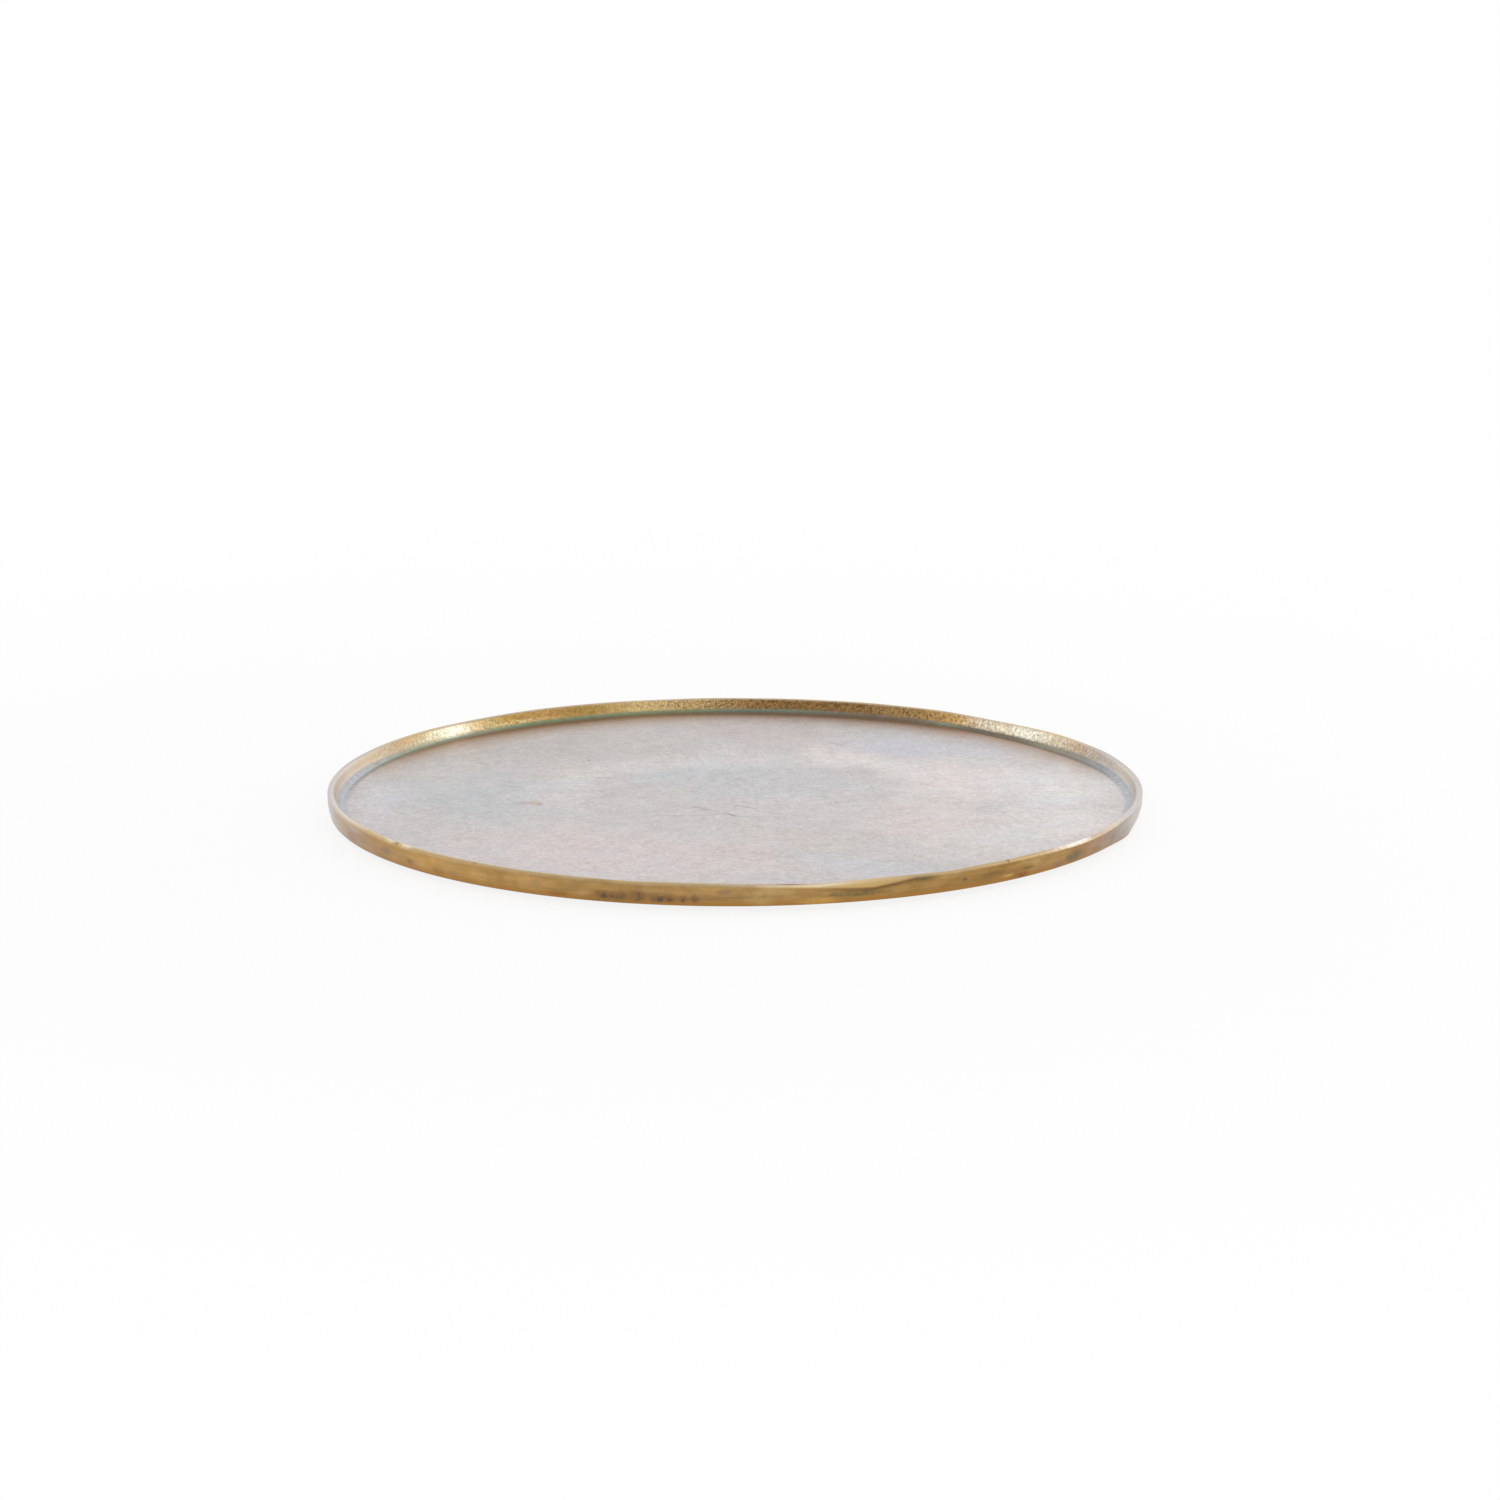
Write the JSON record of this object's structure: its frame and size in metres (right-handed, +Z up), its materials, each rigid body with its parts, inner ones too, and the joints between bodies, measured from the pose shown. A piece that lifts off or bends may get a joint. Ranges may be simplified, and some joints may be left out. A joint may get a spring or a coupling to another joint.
{
  "type": "candle plate",
  "caption": "Round shallow cast metal plate with a low rim and a flat floor that holds candles, standing on glued felt pads.",
  "frame": {"origin": "on the table, on the plate's axis, level with the bottoms of the felt pads", "axes": "+Z up along the plate's axis, +X to the right in the picture, +Y away from the camera"},
  "size_m": [0.3297, 0.3298, 0.0111],
  "materials": {
    "antique_brass_casting": "sand-cast aluminium with an antique brass finish, rim linished, floor patinated pale grey",
    "felt": "pressed wool felt, matt",
    "adhesive_film": "acrylic adhesive film"
  },
  "bodies": {
    "root": {"plate": "antique_brass_casting", "felt_pad_1": "felt", "felt_pad_2": "felt", "felt_pad_3": "felt", "felt_pad_4": "felt", "pad_adhesive_1": "adhesive_film", "pad_adhesive_2": "adhesive_film", "pad_adhesive_3": "adhesive_film", "pad_adhesive_4": "adhesive_film"}
  },
  "joints": []
}
